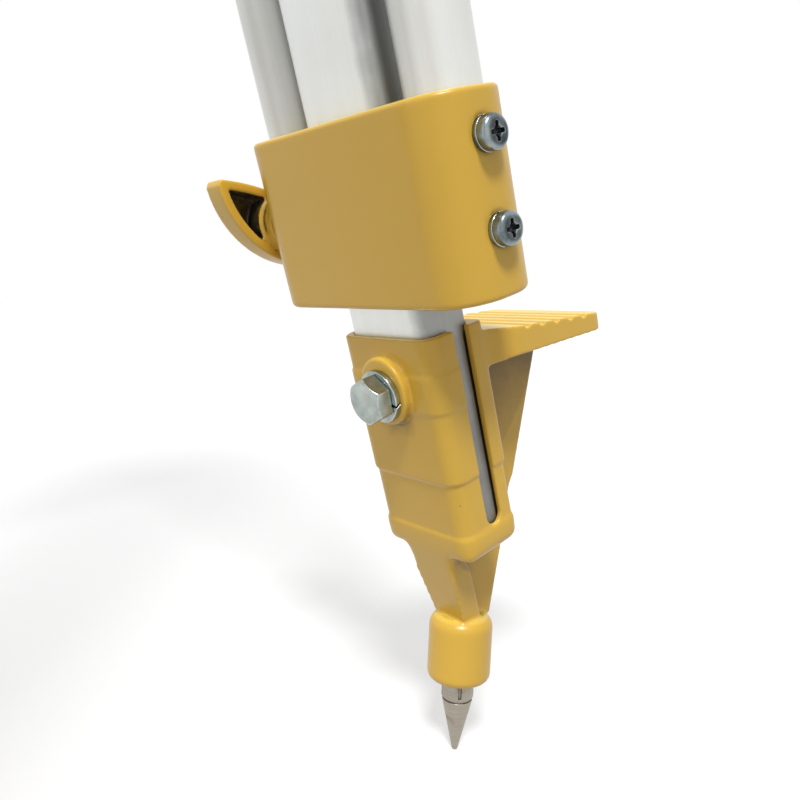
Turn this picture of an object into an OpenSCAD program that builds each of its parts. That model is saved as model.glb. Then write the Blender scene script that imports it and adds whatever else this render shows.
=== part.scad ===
/* [Legs] */
// Radius of the circle through the three leg hinges
hinge_r = 60; // [58:1:70]
// Depth of the hinge axes under the head's top face
hinge_drop = 30; // [29:1:36]
// Angle between each leg and the vertical
splay = 15; // [0:1:25]
// Hinge axis to the lower face of the clamp casting, along the leg
leg_l = 840; // [700:10:900]
// Gap between the clamp casting and the foot casting, with the leg almost closed
leg_gap = 10.9; // [8:0.1:60]

/* [Tubes] */
// Outside diameter of the two outer tubes
tube_d = 22; // [20:0.5:24]
// Wall of the outer tubes
tube_wall = 1.5; // [1:0.1:2.5]
// Distance between the centres of the two outer tubes
tube_pitch = 71.2; // [70:0.2:76]
// Width of the sliding inner tube
inner_w = 40; // [36:0.5:41]
// Thickness of the sliding inner tube
inner_t = 20; // [18:0.5:21]
// Corner radius of the sliding inner tube
inner_r = 4.9; // [3:0.1:6]
// Wall of the sliding inner tube
inner_wall = 1.6; // [1.2:0.1:2.5]
// Length of the inner tube above the clamp's lower face
inner_up = 750; // [550:10:755]
// Height of the slider guide at the inner tube's upper end
guide_h = 36; // [24:1:50]
// Thickness of the guide's cap over the tube's end
guide_cap = 3; // [2:0.5:5]
// Thickness of the guide, front to back
guide_t = 27; // [25:0.5:30]

/* [Castings on the leg] */
// Thickness of the clamp and top castings, front to back
cast_t = 33; // [30:0.5:36]
// Corner radius of these castings, seen along the leg
cast_r = 14.5; // [12:0.5:15]
// Wall outside the outer tubes
cast_wall = 2; // [1.6:0.1:4]
// Extra wall of the clamp casting on the knob's side
knob_wall = 2.8; // [0:0.1:5]
// Chamfer round the castings' upper and lower edges
cast_edge = 0.8; // [0.4:0.1:1.2]
// Radius of the drain holes under the tube sockets
drain_r = 4; // [2:0.5:6]
// Height of the clamp casting
clamp_h = 57; // [52:1:70]
// Height of the top casting
top_h = 42; // [36:1:50]
// Solid metal above the pocket under the top casting
top_floor = 10; // [6:1:14]
// Width of the slot in the middle of the hinge barrel
barrel_slot = 16; // [8:1:24]
// Thickness of the web that carries the hinge barrel
barrel_web = 18; // [12:1:20]
// Floor left under the blind tube sockets
socket_floor = 4; // [3:0.5:6]
// Hinge axis to the upper face of the top casting's block
top_drop = 24; // [20:1:30]
// Radius of the hinge barrel
barrel_r = 12; // [10:0.5:13]
// Length of the hinge barrel
barrel_w = 53; // [46:1:58]

/* [Clamp screw] */
// Height of the wing knob's axis above the clamp's lower face
knob_up = 28.6; // [24:0.1:34]
// Angle of the wings from the leg's direction
knob_turn = -54.3; // [-90:0.1:90]
// Radius of the knob's hub
hub_r = 10.7; // [9:0.1:12]
// Hub's length between the casting and the wings
hub_l = 6.2; // [5:0.1:12]
// Half span of the wings
wing_l = 30; // [24:0.5:34]
// Thickness of the wings
wing_t = 10; // [8:0.5:12]
// Reach of the wings' round side from the axis
wing_round = 14.3; // [13:0.1:16]
// Radius of the wings' round side
wing_round_r = 37.7; // [34:0.1:44]
// Reach of the wings' straighter side from the axis
wing_flat = 8.5; // [7:0.1:10]
// Radius of the wings' straighter side
wing_flat_r = 84; // [70:1:120]
// Rim left round the pocket in the wings
wing_rim = 3.4; // [2.5:0.1:4]
// Floor left under the pocket in the wings
wing_floor = 1.8; // [1.5:0.1:4]
// Diameter of the clamp screw
stud_d = 8; // [6:0.5:8.5]
// Radius of the stud's spigot in the brake pad
spigot_r = 2; // [1.5:0.1:3]
// Length of the spigot
spigot_l = 1.4; // [1:0.1:2]
// Thickness of the brake pad
pad_t = 2.8; // [2:0.1:3]
// Height of the brake pad
pad_h = 24; // [16:1:30]
// Width of the brake pad
pad_w = 12; // [8:0.5:14]

/* [Pan head screws] */
// Diameter of the screws
pan_d = 5; // [4:0.5:6]
// Diameter of the heads
pan_head_d = 9.8; // [8:0.1:10.4]
// Height of the heads
pan_head_h = 3.4; // [2.6:0.1:4]
// Length of the screws under the head
pan_l = 9; // [7:0.5:12]
// Depth of the cross recess
cross_deep = 1.6; // [1:0.1:2]
// Length of the cross recess
cross_l = 5.2; // [4:0.1:6]
// Width of the cross recess
cross_w = 1.1; // [0.8:0.1:1.4]
// Outside diameter of the spring washers
ring_d = 10; // [9:0.1:10.4]
// Thickness of the spring washers
ring_t = 1.5; // [1:0.1:2]
// Height of the lower clamp screw above the clamp's lower face
pan_low = 19.1; // [14:0.1:22]
// Distance between the two clamp screws
pan_gap = 25.3; // [20:0.1:30]
// Depth of the flats under the washers
spot_depth = 0.5; // [0.4:0.1:1]

/* [Foot casting] */
// Width of the foot casting
shoe_w = 45.4; // [43:0.1:48]
// Front of the foot casting from the tube's middle
shoe_front = 12.6; // [12:0.1:15]
// Height of the foot casting
shoe_h = 80; // [72:1:92]
// Radius of the front corners
shoe_r = 6; // [5:0.5:9]
// Radius of the back corners
shoe_back_r = 2; // [1:0.5:4]
// Height of solid metal under the tube
shoe_floor = 7; // [5:0.5:9]
// Width of the slots in the sides
slot_w = 6.7; // [6:0.1:10]
// Offset of the slots' middle from the tube's middle, outwards
slot_mid = 2.7; // [0:0.1:5]
// Solid metal under the slots
slot_floor = 10.4; // [8:0.1:16]
// How far the raised belt stands out
belt_out = 0.4; // [0.3:0.1:1.5]
// Top of the raised belt below the rim
belt_top = 12.1; // [8:0.1:14]
// Height of the raised belt
belt_h = 12.6; // [8:0.1:16]
// Depth of the recess in the lower part
waist_in = 0.6; // [0.3:0.1:1]
// Top of the recess below the rim
waist_top = 49.7; // [40:0.1:56]
// Height of the recess
waist_h = 20.4; // [12:0.1:24]
// Radius of the lower corners
base_r = 5; // [3:0.5:7]

/* [Foot bolt] */
// Depth of the bolt's axis below the rim
bolt_drop = 18.1; // [17:0.1:24]
// Diameter of the bolt
bolt_d = 9.5; // [8:0.5:10]
// Width of the hexagon across its flats
bolt_af = 14.3; // [13:0.1:16]
// Height of the hexagon
bolt_head_h = 6; // [5:0.1:7]
// Outside diameter of the washer under it
bolt_ring_d = 18; // [16:0.5:19]
// Thickness of the washer under it
bolt_ring_t = 2.2; // [1.5:0.1:2.5]
// Radius of the round boss
boss_r = 10.8; // [10:0.1:13]
// Height of the round boss
boss_out = 3.5; // [2:0.1:5]
// Rise of the boss's second round, above the bolt
boss_rise = 1.8; // [0:0.1:3]

/* [Pedal] */
// Width of the pedal
pedal_w = 54; // [44:1:60]
// Outer end of the pedal from the tube's middle
pedal_out = 69.5; // [56:0.1:74]
// Start of the wide part from the tube's middle
pedal_in = 24.8; // [20:0.1:30]
// Depth of the pedal's top below the rim, at the tube's middle
pedal_drop = 1.4; // [1:0.1:4]
// Slope of the pedal's top, falling outwards
pedal_slope = 10; // [4:0.5:14]
// Thickness at the outer end
pedal_t_out = 6.3; // [3.5:0.1:8]
// Thickness at the start of the wide part
pedal_t_in = 9.8; // [6:0.1:12]
// Width of the pedal's neck
neck_w = 45; // [30:0.5:48]
// Thickness of the pedal's neck
neck_t = 12.5; // [8:0.1:15]
// Radius of the outer corners
pedal_r = 5; // [3:0.5:8]
// Number of tread grooves
groove_n = 5; // [3:1:6]
// Distance of the first groove from the tube's middle
groove_start = 28.9; // [27:0.1:32]
// Distance from groove to groove
groove_pitch = 7.5; // [6:0.1:8]
// Radius of the groove's round bottom
groove_r = 1.7; // [1.5:0.1:3]
// Depth of the grooves
groove_depth = 1.1; // [0.8:0.1:2]
// Thickness of the webs
web_t = 5; // [4:0.5:8]
// Lean of the web's outer edge
web_lean = 28; // [24:0.5:32]
// Distance of the web's upper end from the pedal's outer end
web_back = 7.6; // [1:0.1:10]

/* [Spike] */
// Tilt of the spike against the leg
spike_tilt = 18.35; // [15:0.05:22]
// Distance the tip lies inwards from the tube's middle
tip_in = 19.4; // [14:0.1:24]
// Depth of the tip below the rim
tip_drop = 161.9; // [150:0.1:175]
// Radius of the round spike holder
holder_r = 11.9; // [10:0.1:13]
// Lower face of the holder above the tip, along the spike
holder_low = 28.6; // [24:0.1:32]
// Length of the holder
holder_l = 25.5; // [22:0.1:30]
// Radius of the holder's upper shoulder
holder_top_r = 4.5; // [3:0.5:6]
// Radius of the holder's lower edge
holder_low_r = 3; // [2:0.5:5]
// Width of the strut between foot casting and holder, at its top
strut_top_w = 23.2; // [18:0.1:28]
// Width of the strut at the holder
strut_low_w = 13.6; // [10:0.1:20]
// Depth of the strut, front to back
strut_t = 8.6; // [6:0.1:12]
// Lean of the strut's front against the leg
strut_lean = 7.5; // [0:0.5:10]
// Radius of the steel point's collar
collar_r = 6.05; // [5:0.05:7]
// Length of the collar
collar_l = 7; // [5:0.5:8]
// Radius of the steel point's shank in the holder
shank_r = 4; // [3:0.5:6]
// Length of the shank
shank_l = 18; // [12:1:20]
// Radius of the blunt tip
tip_r = 1; // [0.6:0.1:2]
// Number of notches in the collar
notch_n = 4; // [2:1:6]
// Width of a notch
notch_w = 1.1; // [0.8:0.1:1.6]

/* [Head] */
// Diameter of the head
head_d = 158; // [156:1:180]
// Thickness of the head's plate
head_t = 8; // [6:0.5:10]
// Depth of the head's rim
rim_h = 14; // [12:0.5:15]
// Thickness of the head's rim
rim_t = 6; // [4:0.5:8]
// Diameter of the hole in the middle
hole_d = 64; // [62:1:66]
// Thickness of the collar round the hole
collar_t = 5; // [3:0.5:6]
// Thickness of a hinge ear
ear_t = 9; // [7:0.5:11]
// Radius of a hinge ear
ear_r = 13; // [12:0.5:14]
// Diameter of the hinge bolts
hinge_d = 8; // [6:0.5:10]
// Width across the flats of the hinge bolt's hexagons
hinge_af = 13; // [12:0.5:16]
// Distance of the arm's pivot from the head's middle
pivot_r = 56; // [52:1:58]
// Thickness of the centring arm
arm_t = 4; // [3:0.5:5]
// Width of the centring arm
arm_w = 30; // [28:1:34]
// Reach of the arm beyond the head's middle
arm_reach = 40; // [38:1:42]
// Width of the arm at its pivot
arm_root_w = 18; // [16:1:24]
// Width of the arm at its tip
arm_tip_w = 16; // [10:1:20]
// Distance from the pivot to where the arm has its full width
arm_neck = 24; // [20:1:28]
// Reach of the arm's full width beyond the head's middle
arm_full = 22; // [20:1:26]
// Diameter of the pivot screw
pivot_d = 6; // [5:0.5:8]
// Length of the pivot screw
pivot_l = 12; // [8:1:13]
// Thickness of the keeper under the arm
keeper_t = 2.5; // [2:0.1:3.5]
// Half width of the keeper
keeper_in = 4; // [3.5:0.1:5]
// Angle of the keeper's posts from the arm's middle
keeper_post = 26; // [25:0.5:28]
// Radius of the keeper's posts
post_r = 5; // [4:0.5:6]
// Gap between the collar and the arm
arm_gap = 0.4; // [0.3:0.1:1]
// Travel of the fixing screw each way along the arm
screw_travel = 14; // [8:1:14]
// Diameter of the fixing screw's thread
screw_d = 15.88; // [12:0.01:16]
// Height of the fixing screw above the head
screw_up = 12; // [8:1:20]
// Diameter of the hollow in the fixing screw
screw_bore = 8; // [5:0.5:9]
// Width of the bush that slides in the arm's slot
bush_w = 19.8; // [18.4:0.1:20]
// Diameter of the bush's flange
bush_flange = 28; // [26:1:29]
// Diameter of the grip under the head
grip_d = 36; // [30:1:38]
// Length of the grip
grip_l = 34; // [24:1:40]
// Depth of the screw's blind seat in the grip
grip_seat = 28; // [20:1:30]
// Radius of the flutes round the grip
flute_r = 5; // [3:0.5:7]
// Number of flutes round the grip
flute_n = 8; // [6:1:12]
// Radius of the plumb hook's wire
hook_wire = 1.2; // [0.8:0.1:1.8]
// Radius of the plumb hook's bend
hook_bend = 5; // [4:0.5:7]

/* [Clearances] */
// Radial clearance of pieces that are fixed or turn in one another
fit = 0.05; // [0.03:0.01:0.1]
// Clearance where a face seats on another
seat = 0.05; // [0.02:0.01:0.1]
// Clearance round the inner tube in the clamp
slide_gap = 0.5; // [0.3:0.05:0.8]
// Clearance between pieces that move past each other
move_gap = 0.3; // [0.3:0.05:0.6]

/* [Hidden] */
$fn = 64;
far = 400;
legs = [1, 2, 3];
cast_w = tube_pitch + tube_d + 2 * cast_wall;
cast_end = cast_w / 2;
knob_end = cast_end + knob_wall;
clamp_z = -leg_l;
tube_r = tube_d / 2;
tube_x = tube_pitch / 2;
tube_inner_side = tube_x - tube_r;
stud_r = stud_d / 2;
pan_r = pan_d / 2;
top_z = -top_drop;
tube_top_z = top_z - socket_floor - seat;
tube_low_z = clamp_z + socket_floor + seat;
wing_z = hub_l + seat;
pad_face = inner_w / 2 + move_gap;
pad_back = pad_face + pad_t;
hex_k = 1 / cos(30);
foot_z = clamp_z - leg_gap;
shoe_t = 2 * shoe_front;
pivot_boss_r = arm_root_w / 2 - 1;
pocket_clear = 0.15;
boss_face = -shoe_front - boss_out;
holder_top = holder_low + holder_l;
cone_top = holder_low - seat - collar_l - 1;
pedal_tan = tan(pedal_slope);
ear_in = barrel_w / 2 + 0.4;
ear_out = ear_in + ear_t;
hinge_head_h = 5.3;
hinge_nut_h = 6.5;
hinge_ring_t = 1.6;
hinge_ring_r = 8;
collar_low = head_t + 4;
arm_z = -collar_low - arm_gap;
arm_low = arm_z - arm_t;
keeper_low = arm_low - move_gap - keeper_t - seat;
keeper_r = pivot_r + screw_travel + bush_flange / 2 + move_gap + keeper_in + 0.1;
keeper_end = keeper_post + 3.5;
flange_t = keeper_t;
screw_r = screw_d / 2;
snap_t = 1.2;
snap_r = screw_r + 2.6;
snap_z = arm_z + move_gap;
groove_in = 0.8;
grip_top = keeper_low - move_gap;

leg_nodes = [
    "leg_top", "tube_left", "tube_right", "hinge_bolt", "hinge_nut", "clamp_casting",
    "pan_screws", "spring_washers", "wing_knob", "clamp_stud", "brake_pad", "inner_tube",
    "slider_guide", "foot_casting", "foot_bolt", "foot_washer", "foot_point"
];
head_nodes = [
    "head_casting", "centring_arm", "head_screws", "arm_keeper", "screw_bush",
    "fixing_screw", "retaining_ring", "screw_grip", "plumb_hook"
];

// Plan shapes and blocks

module round_rect(w, t, r) {
    square([w - 2 * r, t], center = true);
    square([w, t - 2 * r], center = true);
    for (sx = [-1, 1], sy = [-1, 1])
        translate([sx * (w / 2 - r), sy * (t / 2 - r)]) circle(r);
}

module edge_profile(w, h, e) {
    polygon([
        [-w / 2 + e, 0], [w / 2 - e, 0], [w / 2, e], [w / 2, h - e],
        [w / 2 - e, h], [-w / 2 + e, h], [-w / 2, h - e], [-w / 2, e]
    ]);
}

// Block with round corners, seen from above, and chamfered upper and lower edges
module cast_block(w, t, r, h, e) {
    translate([-w / 2 + r, 0, 0]) rotate([90, 0, 90])
        linear_extrude(w - 2 * r) edge_profile(t, h, e);
    translate([0, t / 2 - r, 0]) rotate([90, 0, 0])
        linear_extrude(t - 2 * r) edge_profile(w, h, e);
    for (sx = [-1, 1], sy = [-1, 1])
        translate([sx * (w / 2 - r), sy * (t / 2 - r), 0]) rotate_extrude()
            polygon([[0, 0], [r - e, 0], [r, e], [r, h - e], [r - e, h], [0, h]]);
}

// Round bar whose lower and upper edges are rounded
module round_bar(r, low, high, r_low, r_high) {
    rotate_extrude() {
        translate([0, low + r_low]) square([r, high - low - r_low - r_high]);
        translate([0, low]) square([r - r_low, r_low + r_high]);
        translate([0, high - r_high - r_low]) square([r - r_high, r_high + r_low]);
        translate([r - r_low, low + r_low]) circle(r_low);
        translate([r - r_high, high - r_high]) circle(r_high);
    }
}

module ring(r_out, r_in, t) {
    difference() {
        cylinder(r = r_out, h = t);
        translate([0, 0, -1]) cylinder(r = r_in, h = t + 2);
    }
}

// Washer with one slanting cut
module split_ring(r_out, r_in, t) {
    difference() {
        ring(r_out, r_in, t);
        translate([0, 0, t / 2]) rotate([30, 0, 0]) translate([0, -0.4, -t * 2])
            cube([r_out + 1, 0.8, t * 4]);
    }
}

// Screw with a pan head and a cross recess, its head's seat at z = 0
module pan_screw(l, r) {
    difference() {
        union() {
            round_bar(pan_head_d / 2, 0, pan_head_h, 0.3, 1.6);
            translate([0, 0, -l]) cylinder(r = r, h = l + 0.5);
        }
        for (a = [0, 90]) rotate([0, 0, a])
            translate([-cross_l / 2, -cross_w / 2, pan_head_h - cross_deep])
                cube([cross_l, cross_w, cross_deep + 1]);
        translate([0, 0, pan_head_h - cross_deep - 0.4])
            cylinder(r1 = cross_w / 2, r2 = 1.5 * cross_w, h = cross_deep + 0.5);
    }
}

module hexagon(af, h) {
    intersection() {
        cylinder(r = af / 2 * hex_k, h = h, $fn = 6);
        union() {
            cylinder(r1 = af, r2 = af / 2 - 0.2, h = h);
            cylinder(r = af * 0.55, h = h - 0.8);
        }
    }
}

// Places

// Each leg's own frame: x across it, y outwards, z up along it from the hinge axis
module on_leg(k) {
    rotate([0, 0, 120 * (k - 1)]) translate([0, hinge_r, -hinge_drop])
        rotate([splay, 0, 0]) children();
}

module on_hinge(k) {
    rotate([0, 0, 120 * (k - 1)]) translate([0, hinge_r, -hinge_drop]) children();
}

// Sockets for the two outer tubes, open at z = 0 and going up to h
module tube_sockets(h) {
    for (sx = [-1, 1]) translate([sx * tube_x, 0, 0]) {
        translate([0, 0, -1]) cylinder(r = tube_r + fit, h = h + 1);
        cylinder(r = drain_r, h = h + socket_floor + 1);
    }
}

module at_pan_screws() {
    for (z = [clamp_z + pan_low, clamp_z + pan_low + pan_gap])
        translate([cast_end - spot_depth, 0, z]) rotate([0, 90, 0]) children();
    for (s = [-1, 1]) translate([s * (cast_end - spot_depth), 0, top_z - top_h / 2])
        rotate([0, s * 90, 0]) children();
}

// Flat and bore for a pan head screw, its flat at z = 0
module screw_seat() {
    cylinder(r = ring_d / 2 + spot_depth, h = 5);
    translate([0, 0, -pan_l + 1]) cylinder(r = pan_r + fit, h = pan_l + 1);
}

module at_knob() {
    translate([-knob_end, 0, clamp_z + knob_up]) rotate([0, -90, 0]) children();
}

module at_foot() {
    translate([0, 0, foot_z]) children();
}

// Frame of the spike: z = 0 at its tip, z up along it
module at_spike() {
    translate([0, -tip_in, -tip_drop]) rotate([-spike_tilt, 0, 0]) children();
}

// Leg, upper part

module leg_top() {
    color("goldenrod") difference() {
        union() {
            translate([0, 0, top_z - top_h]) cast_block(cast_w, cast_t, cast_r, top_h, cast_edge);
            rotate([0, 90, 0]) cylinder(r = barrel_r, h = barrel_w, center = true);
            translate([-barrel_w / 2, -barrel_web / 2, top_z - 2])
                cube([barrel_w, barrel_web, top_drop + 2]);
        }
        rotate([0, 90, 0]) cylinder(r = hinge_d / 2 + fit, h = far, center = true);
        translate([0, 0, top_z - top_h]) tube_sockets(top_h - socket_floor);
        at_pan_screws() screw_seat();
        translate([0, 0, top_z - top_h - 1])
            linear_extrude(top_h - top_floor + 1) round_rect(inner_w - 2, inner_t, inner_r);
        translate([-barrel_slot / 2, -far / 2, top_z + 2])
            cube([barrel_slot, far, top_drop + barrel_r]);
    }
}

module outer_tube(side) {
    color("silver") difference() {
        translate([side * tube_x, 0, tube_low_z]) difference() {
            cylinder(r = tube_r, h = tube_top_z - tube_low_z);
            translate([0, 0, -1]) cylinder(r = tube_r - tube_wall, h = leg_l);
        }
        if (side > 0)
            at_pan_screws() translate([0, 0, -tube_r]) cylinder(r = pan_r + fit, h = tube_r);
        else {
            at_knob() translate([0, 0, -tube_d - knob_wall - 8])
                cylinder(r = stud_r + 0.6, h = tube_d + knob_wall + 8);
            at_pan_screws() translate([0, 0, -tube_r]) cylinder(r = pan_r + fit, h = tube_r);
        }
    }
}

module tube_left() { outer_tube(-1); }

module tube_right() { outer_tube(1); }

module clamp_casting() {
    color("goldenrod") difference() {
        translate([-knob_wall / 2, 0, clamp_z])
            cast_block(cast_w + knob_wall, cast_t, cast_r, clamp_h, cast_edge);
        translate([0, 0, clamp_z + clamp_h]) mirror([0, 0, 1]) tube_sockets(clamp_h - socket_floor);
        translate([0, 0, clamp_z - 1]) linear_extrude(clamp_h + 2)
            round_rect(inner_w + 2 * slide_gap, inner_t + 2 * slide_gap, inner_r + slide_gap);
        at_pan_screws() screw_seat();
        at_knob() translate([0, 0, -cast_wall - knob_wall - 3])
            cylinder(r = stud_r + fit, h = cast_wall + knob_wall + 5);
        translate([-tube_x, -pad_w / 2 - move_gap, clamp_z + knob_up - pad_h / 2 - move_gap])
            cube([tube_x - inner_w / 2, pad_w + 2 * move_gap, pad_h + 2 * move_gap]);
    }
}

module pan_screws() {
    color("lightgray") at_pan_screws() translate([0, 0, ring_t + 2 * seat]) pan_screw(pan_l, pan_r);
}

module spring_washers() {
    color("gray") at_pan_screws() translate([0, 0, seat])
        rotate([0, 0, 200]) split_ring(ring_d / 2, pan_r + fit, ring_t);
}

// Outline of the two wings and the hub between them, seen along the knob's axis
module wing_outline(inset) {
    intersection() {
        translate([0, wing_round_r - wing_round]) circle(wing_round_r - inset);
        translate([0, wing_flat - wing_flat_r]) circle(wing_flat_r - inset);
        square([2 * (wing_l - inset), far], center = true);
    }
}

module wing_knob() {
    color("goldenrod") at_knob() rotate([0, 0, knob_turn]) difference() {
        union() {
            translate([0, 0, 2 * move_gap]) cylinder(r = hub_r, h = hub_l + wing_t - 4 * move_gap);
            translate([0, 0, wing_z]) linear_extrude(wing_t) wing_outline(0);
        }
        difference() {
            translate([0, 0, wing_z - 1]) linear_extrude(wing_t - wing_floor + 1)
                wing_outline(wing_rim);
            translate([0, 0, wing_z - 2]) cylinder(r = hub_r + 1.2, h = wing_t + 4);
        }
        translate([0, 0, -1]) cylinder(r = stud_r + fit, h = wing_z + wing_t - 2.5);
    }
}

module clamp_stud() {
    reach = knob_end - pad_back - seat;
    color("silver") at_knob() {
        translate([0, 0, -reach]) cylinder(r = stud_r, h = reach + wing_z + wing_t - 4);
        translate([0, 0, -reach - spigot_l + 2 * seat]) cylinder(r = spigot_r, h = spigot_l);
    }
}

module brake_pad() {
    color("dimgray") difference() {
        translate([-pad_back, -pad_w / 2, clamp_z + knob_up - pad_h / 2])
            cube([pad_t, pad_w, pad_h]);
        at_knob() translate([0, 0, -knob_end + pad_back - spigot_l - 2 * seat])
            cylinder(r = spigot_r + fit, h = spigot_l + 5);
    }
}

// Leg, sliding lower part

module inner_tube() {
    color("silver") difference() {
        translate([0, 0, foot_z - shoe_h + shoe_floor + seat])
            linear_extrude(inner_up + leg_gap + shoe_h - shoe_floor) difference() {
                round_rect(inner_w, inner_t, inner_r);
                round_rect(inner_w - 2 * inner_wall, inner_t - 2 * inner_wall, inner_r - inner_wall);
            }
        at_foot() translate([0, 0, -bolt_drop]) rotate([90, 0, 0])
            cylinder(r = bolt_d / 2 + 0.2, h = far, center = true);
    }
}

module slider_guide() {
    top = clamp_z + inner_up + 3 * seat;
    color("dimgray") difference() {
        translate([0, 0, top - guide_h + guide_cap])
            linear_extrude(guide_h) round_rect(2 * tube_inner_side + 6, guide_t, inner_r - 2);
        translate([0, 0, top - guide_h]) linear_extrude(guide_h)
            round_rect(inner_w + 2 * fit, inner_t + 2 * fit, inner_r + fit);
        for (sx = [-1, 1]) translate([sx * tube_x, 0, top - far])
            cylinder(r = tube_r + move_gap, h = 2 * far);
    }
}

// Foot casting, with z = 0 at its rim

module shoe_plan(grow) {
    w = shoe_w + 2 * grow;
    f = shoe_front + grow;
    r = shoe_r;
    b = shoe_back_r;
    translate([0, (r - b) / 2]) square([w, 2 * f - r - b], center = true);
    translate([-w / 2 + r, -f]) square([w - 2 * r, 2 * f - b]);
    translate([-w / 2 + b, 0]) square([w - 2 * b, f]);
    for (sx = [-1, 1]) {
        translate([sx * (w / 2 - r), -f + r]) circle(r);
        translate([sx * (w / 2 - b), f - b]) circle(b);
    }
}

// Outline w wide with its two lower corners rounded, its base at the foot casting's
module round_base(w, r) {
    translate([-w / 2, -shoe_h + r]) square([w, shoe_h - r]);
    translate([-w / 2 + r, -shoe_h]) square([w - 2 * r, shoe_h]);
    for (sx = [-1, 1]) translate([sx * (w / 2 - r), -shoe_h + r]) circle(r);
}

module shoe_body() {
    difference() {
        intersection() {
            translate([0, 0, -shoe_h]) linear_extrude(shoe_h) shoe_plan(0);
            rotate([90, 0, 0]) linear_extrude(far, center = true) round_base(shoe_w, base_r);
            rotate([90, 0, 90]) linear_extrude(far, center = true) round_base(shoe_t, base_r - 1);
        }
        translate([0, 0, -waist_top - waist_h]) linear_extrude(waist_h) difference() {
            square(far, center = true);
            shoe_plan(-waist_in);
        }
    }
    intersection() {
        translate([0, 0, -belt_top - belt_h]) linear_extrude(belt_h) shoe_plan(belt_out);
        translate([-far / 2, -far, -far]) cube([far, far, far]);
    }
    for (rise = [0, boss_rise]) translate([0, 0, -bolt_drop + rise]) rotate([90, 0, 0])
        cylinder(r = boss_r, h = shoe_front + boss_out);
}

function pedal_top(y) = -pedal_drop - y * pedal_tan;

module pedal_side() {
    rotate([90, 0, 90]) linear_extrude(far, center = true) polygon([
        [shoe_front - 2, pedal_top(shoe_front - 2)],
        [pedal_out, pedal_top(pedal_out)],
        [pedal_out, pedal_top(pedal_out) - pedal_t_out],
        [pedal_in, pedal_top(pedal_in) - pedal_t_in],
        [shoe_front, pedal_top(shoe_front) - neck_t],
        [shoe_front - 2, pedal_top(shoe_front) - neck_t]
    ]);
}

module pedal() {
    intersection() {
        pedal_side();
        translate([0, 0, -far / 2]) linear_extrude(far) {
            polygon([
                [-neck_w / 2, shoe_front - 2], [neck_w / 2, shoe_front - 2],
                [neck_w / 2, shoe_front + 1.5],
                [pedal_w / 2, pedal_in], [pedal_w / 2, pedal_out - pedal_r],
                [-pedal_w / 2, pedal_out - pedal_r], [-pedal_w / 2, pedal_in],
                [-neck_w / 2, shoe_front + 1.5]
            ]);
            translate([-pedal_w / 2 + pedal_r, pedal_in])
                square([pedal_w - 2 * pedal_r, pedal_out - pedal_in]);
            for (sx = [-1, 1]) translate([sx * (pedal_w / 2 - pedal_r), pedal_out - pedal_r])
                circle(pedal_r);
        }
    }
}

module groove_cuts() {
    for (i = [0 : groove_n - 1]) {
        y = groove_start + i * groove_pitch;
        translate([0, y, pedal_top(y) + groove_r - groove_depth]) rotate([0, 90, 0])
            cylinder(r = groove_r, h = far, center = true);
    }
}

// Web in the leg's middle plane, from the pedal down to the spike holder
module middle_web() {
    low_z = -tip_drop + holder_top * cos(spike_tilt) - 6;
    top_y = pedal_out - web_back;
    top_z = pedal_top(top_y) - pedal_t_out + 1;
    low_y = top_y - (top_z - low_z) * tan(web_lean);
    rotate([90, 0, 90]) linear_extrude(web_t, center = true) polygon([
        [-shoe_front / 2, -shoe_h + 4], [-shoe_front / 2, low_z], [low_y, low_z],
        [top_y, top_z], [shoe_front - 2, pedal_top(shoe_front) - 4]
    ]);
}

// Thick strut at the front, tapering down to the spike holder
module strut() {
    low_z = -tip_drop + holder_top * cos(spike_tilt) - holder_top_r;
    strut_h = -low_z - shoe_h + 3;
    intersection() {
        translate([0, 0, low_z]) rotate([90, 0, 0]) linear_extrude(far, center = true) polygon([
            [-strut_low_w / 2, 0], [strut_low_w / 2, 0],
            [strut_top_w / 2, strut_h], [-strut_top_w / 2, strut_h]
        ]);
        translate([0, -shoe_front, -shoe_h + 3]) rotate([strut_lean, 0, 0])
            translate([-far / 2, 0, -far]) cube([far, strut_t, far]);
    }
}

module shoe_hollow() {
    translate([0, 0, -shoe_h + shoe_floor]) linear_extrude(far) round_rect(
        inner_w + 2 * pocket_clear, inner_t + 2 * pocket_clear, inner_r + pocket_clear);
    translate([-far / 2, slot_mid, -shoe_h + slot_floor + slot_w / 2]) rotate([0, 90, 0])
        cylinder(r = slot_w / 2, h = far);
    translate([-far / 2, slot_mid - slot_w / 2, -shoe_h + slot_floor + slot_w / 2])
        cube([far, slot_w, far]);
}

module foot_casting() {
    color("goldenrod") at_foot() difference() {
        union() {
            difference() {
                shoe_body();
                shoe_hollow();
            }
            difference() {
                union() {
                    middle_web();
                    strut();
                }
                translate([0, 0, -shoe_h + 2]) linear_extrude(far) square([far, shoe_t - 3], center = true);
            }
            difference() {
                pedal();
                groove_cuts();
                translate([0, 0, -far / 2]) linear_extrude(far) square([far, shoe_t - 3], center = true);
            }
            at_spike() round_bar(holder_r, holder_low, holder_top, holder_low_r, holder_top_r);
        }
        translate([0, 0, -bolt_drop]) rotate([90, 0, 0]) {
            cylinder(r = bolt_d / 2 + fit, h = far);
            translate([0, 0, -shoe_front - 8]) cylinder(r = bolt_d / 2 + fit, h = far);
        }
        at_spike() translate([0, 0, -1]) cylinder(r = shank_r + fit, h = cone_top + collar_l + shank_l + 4);
    }
}

module foot_bolt() {
    color("lightgray") at_foot() translate([0, boss_face - bolt_ring_t - 2 * seat, -bolt_drop])
        rotate([90, 0, 0]) {
            rotate([0, 0, 25]) hexagon(bolt_af, bolt_head_h);
            translate([0, 0, -2 * shoe_front - boss_out - bolt_ring_t - 6])
                cylinder(r = bolt_d / 2, h = 2 * shoe_front + boss_out + bolt_ring_t + 7);
        }
}

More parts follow.
